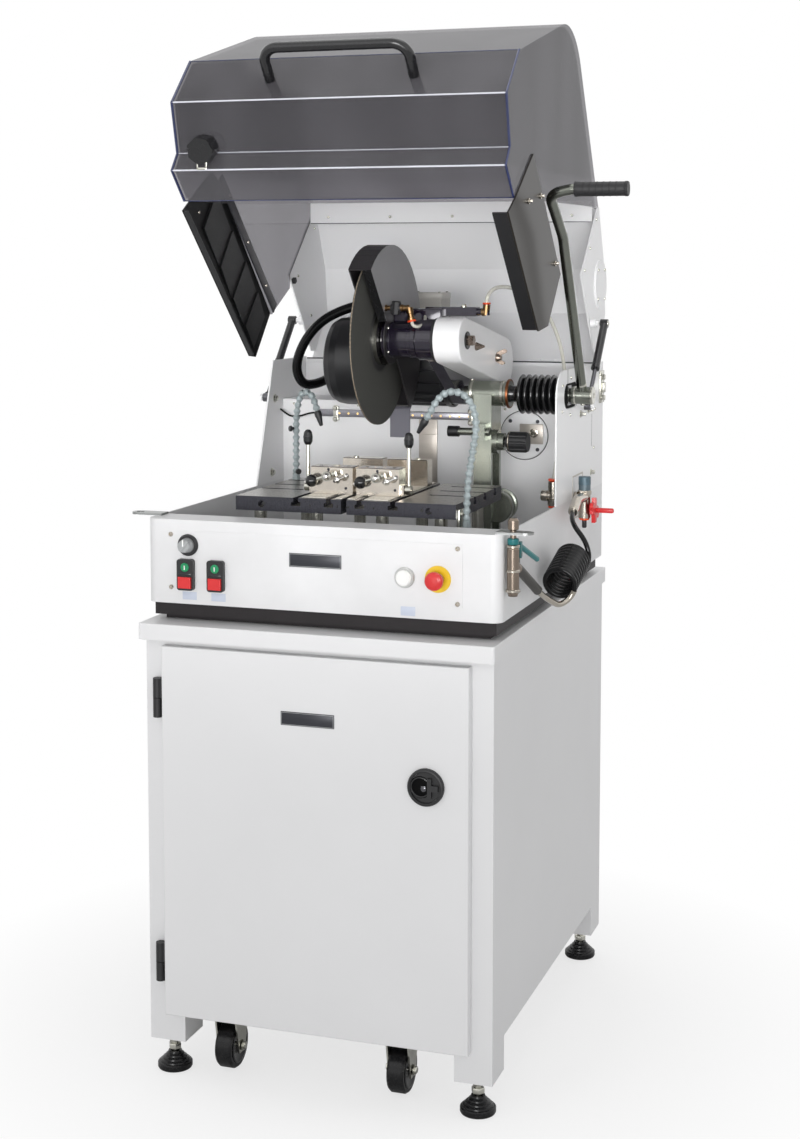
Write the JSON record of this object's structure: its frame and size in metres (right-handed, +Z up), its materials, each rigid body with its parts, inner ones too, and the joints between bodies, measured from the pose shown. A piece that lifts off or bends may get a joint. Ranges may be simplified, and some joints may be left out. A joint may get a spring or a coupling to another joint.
{
  "type": "abrasive cut-off saw",
  "caption": "Floor-standing wet abrasive cut-off saw: cabinet with door, tub with controls, T-slot vise table, hand-fed swing arm with belt drive and a tinted tilting hood.",
  "frame": {"origin": "centre of the cabinet footprint on the floor", "axes": "+X to the operator's right, +Y to the rear, +Z up"},
  "size_m": [0.828, 0.863, 1.8185],
  "materials": {
    "white_paint": "satin",
    "black_paint": "satin",
    "dark_cast": "satin",
    "zinc": "satin",
    "nickel": "polished",
    "table_steel": "ground",
    "black_plastic": "matte",
    "rubber": "matte",
    "tint": "clear",
    "abrasive": "rough",
    "green": "gloss",
    "red": "gloss",
    "white_plastic": "gloss",
    "grey_plastic": "matte",
    "hose": "satin",
    "hose_grey": "satin",
    "teal": "gloss"
  },
  "bodies": {
    "cabinet": {"cabinet_frame": "white_paint", "cabinet_top": "white_paint", "levelling_feet": "rubber", "caster_brackets": "zinc", "door_hinge_posts": "black_paint", "machine_base": "black_paint", "tub": "white_paint", "chamber_walls": "white_paint", "switch_bezels": "black_plastic", "table_halves": "table_steel", "table_posts": "zinc", "pivot_stand": "zinc", "bellows": "rubber", "rear_jaw": "table_steel", "coolant_hoses": "hose_grey", "water_valve": "nickel", "spray_hose": "hose", "hose_coil": "hose", "spray_gun": "nickel", "flexible_lines": "hose"},
    "door": {"door": "white_paint", "door_fittings": "black_plastic"},
    "latch": {"latch_paddle": "black_plastic"},
    "hood": {"hood_shield": "tint", "hood_frame": "white_paint", "side_skirts": "black_paint", "hood_fittings": "black_plastic"},
    "arm": {"arm_casting": "dark_cast", "belt_cover": "white_paint", "motor": "black_paint", "wheel_guard": "dark_cast", "feed_lever": "zinc", "drive_belt": "rubber"},
    "spindle": {"spindle": "zinc", "cutting_wheel": "abrasive"},
    "motor_pulley": {"motor_pulley": "zinc"},
    "stop_knob": {"stop_knob": "black_plastic"},
    "valve_handle": {"valve_handle": "red"},
    "rotary_knob": {"rotary_knob": "grey_plastic"},
    "white_button": {"white_button": "white_plastic"},
    "emergency_stop": {"emergency_stop": "red"},
    "gun_trigger": {"gun_trigger": "teal"},
    "gas_rod_left": {"gas_rod_left": "nickel"},
    "gas_cylinder_left": {"gas_cylinder_left": "black_paint"},
    "jaw_left": {"jaw_left": "table_steel"},
    "cam_lever_left": {"cam_lever_left": "zinc"},
    "crank_left": {"crank_left": "zinc"},
    "green_button_left": {"green_button_left": "green"},
    "red_button_left": {"red_button_left": "red"},
    "gas_rod_right": {"gas_rod_right": "nickel"},
    "gas_cylinder_right": {"gas_cylinder_right": "black_paint"},
    "jaw_right": {"jaw_right": "table_steel"},
    "cam_lever_right": {"cam_lever_right": "zinc"},
    "crank_right": {"crank_right": "zinc"},
    "green_button_right": {"green_button_right": "green"},
    "red_button_right": {"red_button_right": "red"},
    "caster_wheel_left_front": {"caster_wheel_left_front": "rubber"},
    "caster_wheel_left_rear": {"caster_wheel_left_rear": "rubber"},
    "caster_wheel_right_front": {"caster_wheel_right_front": "rubber"},
    "caster_wheel_right_rear": {"caster_wheel_right_rear": "rubber"}
  },
  "joints": [
    {"name": "door_hinge", "type": "hinge", "parent": "cabinet", "child": "door", "pos_m": [-0.281, -0.404, 0.432], "axis": [0, 0, -1], "range_deg": [0, 110]},
    {"name": "latch_turn", "type": "hinge", "parent": "door", "child": "latch", "pos_m": [0.199, -0.413, 0.553], "axis": [0, 1, 0], "range_deg": [0, 90]},
    {"name": "hood_hinge", "type": "hinge", "parent": "cabinet", "child": "hood", "pos_m": [0, 0.366, 1.195], "axis": [1, 0, 0], "range_deg": [0, 45.5], "stiffness_Nm_per_rad": 44, "springref_deg": -77.35},
    {"name": "arm_swing", "type": "hinge", "parent": "cabinet", "child": "arm", "pos_m": [0.16, 0.095, 1.153], "axis": [1, 0, 0], "range_deg": [0, 36], "stiffness_Nm_per_rad": 10, "springref_deg": -45.84, "deforming": ["flexible_lines"]},
    {"name": "spindle_spin", "type": "hinge", "parent": "arm", "child": "spindle", "pos_m": [0, -0.07, 1.257], "axis": [1, 0, 0], "continuous": true},
    {"name": "motor_spin", "type": "hinge", "parent": "arm", "child": "motor_pulley", "pos_m": [0.1, 0.195, 1.203], "axis": [1, 0, 0], "continuous": true},
    {"name": "gas_rod_pivot_left", "type": "hinge", "parent": "cabinet", "child": "gas_rod_left", "pos_m": [-0.323, 0.18, 1.128], "axis": [1, 0, 0], "range_deg": [-2.02, 0]},
    {"name": "gas_stroke_left", "type": "slide", "parent": "gas_rod_left", "child": "gas_cylinder_left", "axis": [0, 0.6766, 0.7363], "range_m": [-0.07325, 0]},
    {"name": "jaw_slide_left", "type": "slide", "parent": "cabinet", "child": "jaw_left", "axis": [0, 1, 0], "range_m": [-0.04, 0.118]},
    {"name": "cam_lever_turn_left", "type": "hinge", "parent": "jaw_left", "child": "cam_lever_left", "pos_m": [-0.093, -0.184, 1.003], "axis": [1, 0, 0], "range_deg": [0, 75]},
    {"name": "crank_turn_left", "type": "hinge", "parent": "jaw_left", "child": "crank_left", "pos_m": [-0.044, -0.202, 1.026], "axis": [0, 1, 0], "range_deg": [0, 130]},
    {"name": "green_button_left_press", "type": "slide", "parent": "cabinet", "child": "green_button_left", "axis": [0, 1, 0], "range_m": [0, 0.003], "stiffness_N_per_m": 400},
    {"name": "red_button_left_press", "type": "slide", "parent": "cabinet", "child": "red_button_left", "axis": [0, 1, 0], "range_m": [0, 0.003], "stiffness_N_per_m": 400},
    {"name": "gas_rod_pivot_right", "type": "hinge", "parent": "cabinet", "child": "gas_rod_right", "pos_m": [0.323, 0.18, 1.128], "axis": [1, 0, 0], "range_deg": [-2.02, 0]},
    {"name": "gas_stroke_right", "type": "slide", "parent": "gas_rod_right", "child": "gas_cylinder_right", "axis": [0, 0.6766, 0.7363], "range_m": [-0.07325, 0]},
    {"name": "jaw_slide_right", "type": "slide", "parent": "cabinet", "child": "jaw_right", "axis": [0, 1, 0], "range_m": [-0.04, 0.118]},
    {"name": "cam_lever_turn_right", "type": "hinge", "parent": "jaw_right", "child": "cam_lever_right", "pos_m": [0.093, -0.184, 1.003], "axis": [1, 0, 0], "range_deg": [0, 75]},
    {"name": "crank_turn_right", "type": "hinge", "parent": "jaw_right", "child": "crank_right", "pos_m": [0.046, -0.202, 1.026], "axis": [0, 1, 0], "range_deg": [0, 130]},
    {"name": "green_button_right_press", "type": "slide", "parent": "cabinet", "child": "green_button_right", "axis": [0, 1, 0], "range_m": [0, 0.003], "stiffness_N_per_m": 400},
    {"name": "red_button_right_press", "type": "slide", "parent": "cabinet", "child": "red_button_right", "axis": [0, 1, 0], "range_m": [0, 0.003], "stiffness_N_per_m": 400},
    {"name": "white_button_press", "type": "slide", "parent": "cabinet", "child": "white_button", "axis": [0, 1, 0], "range_m": [0, 0.0035], "stiffness_N_per_m": 400},
    {"name": "emergency_stop_press", "type": "slide", "parent": "cabinet", "child": "emergency_stop", "axis": [0, 1, 0], "range_m": [0, 0.004]},
    {"name": "rotary_knob_turn", "type": "hinge", "parent": "cabinet", "child": "rotary_knob", "pos_m": [-0.234, -0.378, 0.92], "axis": [0, 1, 0], "range_deg": [-120, 120]},
    {"name": "stop_knob_turn", "type": "hinge", "parent": "cabinet", "child": "stop_knob", "pos_m": [0.2, 0.085, 1.065], "axis": [1, 0, 0], "continuous": true},
    {"name": "valve_turn", "type": "hinge", "parent": "cabinet", "child": "valve_handle", "pos_m": [0.34, 0.125, 0.94], "axis": [1, 0, 0], "range_deg": [0, 90]},
    {"name": "trigger_squeeze", "type": "hinge", "parent": "cabinet", "child": "gun_trigger", "pos_m": [0.326, -0.334, 0.926], "axis": [-1, 0, 0], "range_deg": [0, 12], "stiffness_Nm_per_rad": 2},
    {"name": "caster_wheel_left_front_roll", "type": "hinge", "parent": "cabinet", "child": "caster_wheel_left_front", "pos_m": [-0.18, -0.337, 0.043], "axis": [1, 0, 0], "continuous": true},
    {"name": "caster_wheel_left_rear_roll", "type": "hinge", "parent": "cabinet", "child": "caster_wheel_left_rear", "pos_m": [-0.18, 0.337, 0.043], "axis": [1, 0, 0], "continuous": true},
    {"name": "caster_wheel_right_front_roll", "type": "hinge", "parent": "cabinet", "child": "caster_wheel_right_front", "pos_m": [0.132, -0.337, 0.043], "axis": [1, 0, 0], "continuous": true},
    {"name": "caster_wheel_right_rear_roll", "type": "hinge", "parent": "cabinet", "child": "caster_wheel_right_rear", "pos_m": [0.132, 0.337, 0.043], "axis": [1, 0, 0], "continuous": true}
  ],
  "couplings": [
    {"joint": "gas_rod_pivot_left", "follows": "hood_hinge", "ratio": -0.04},
    {"joint": "gas_stroke_left", "follows": "hood_hinge", "m_per_rad": -0.09162},
    {"joint": "gas_rod_pivot_right", "follows": "hood_hinge", "ratio": -0.04},
    {"joint": "gas_stroke_right", "follows": "hood_hinge", "m_per_rad": -0.09162},
    {"joint": "motor_spin", "follows": "spindle_spin", "ratio": 0.8125}
  ]
}
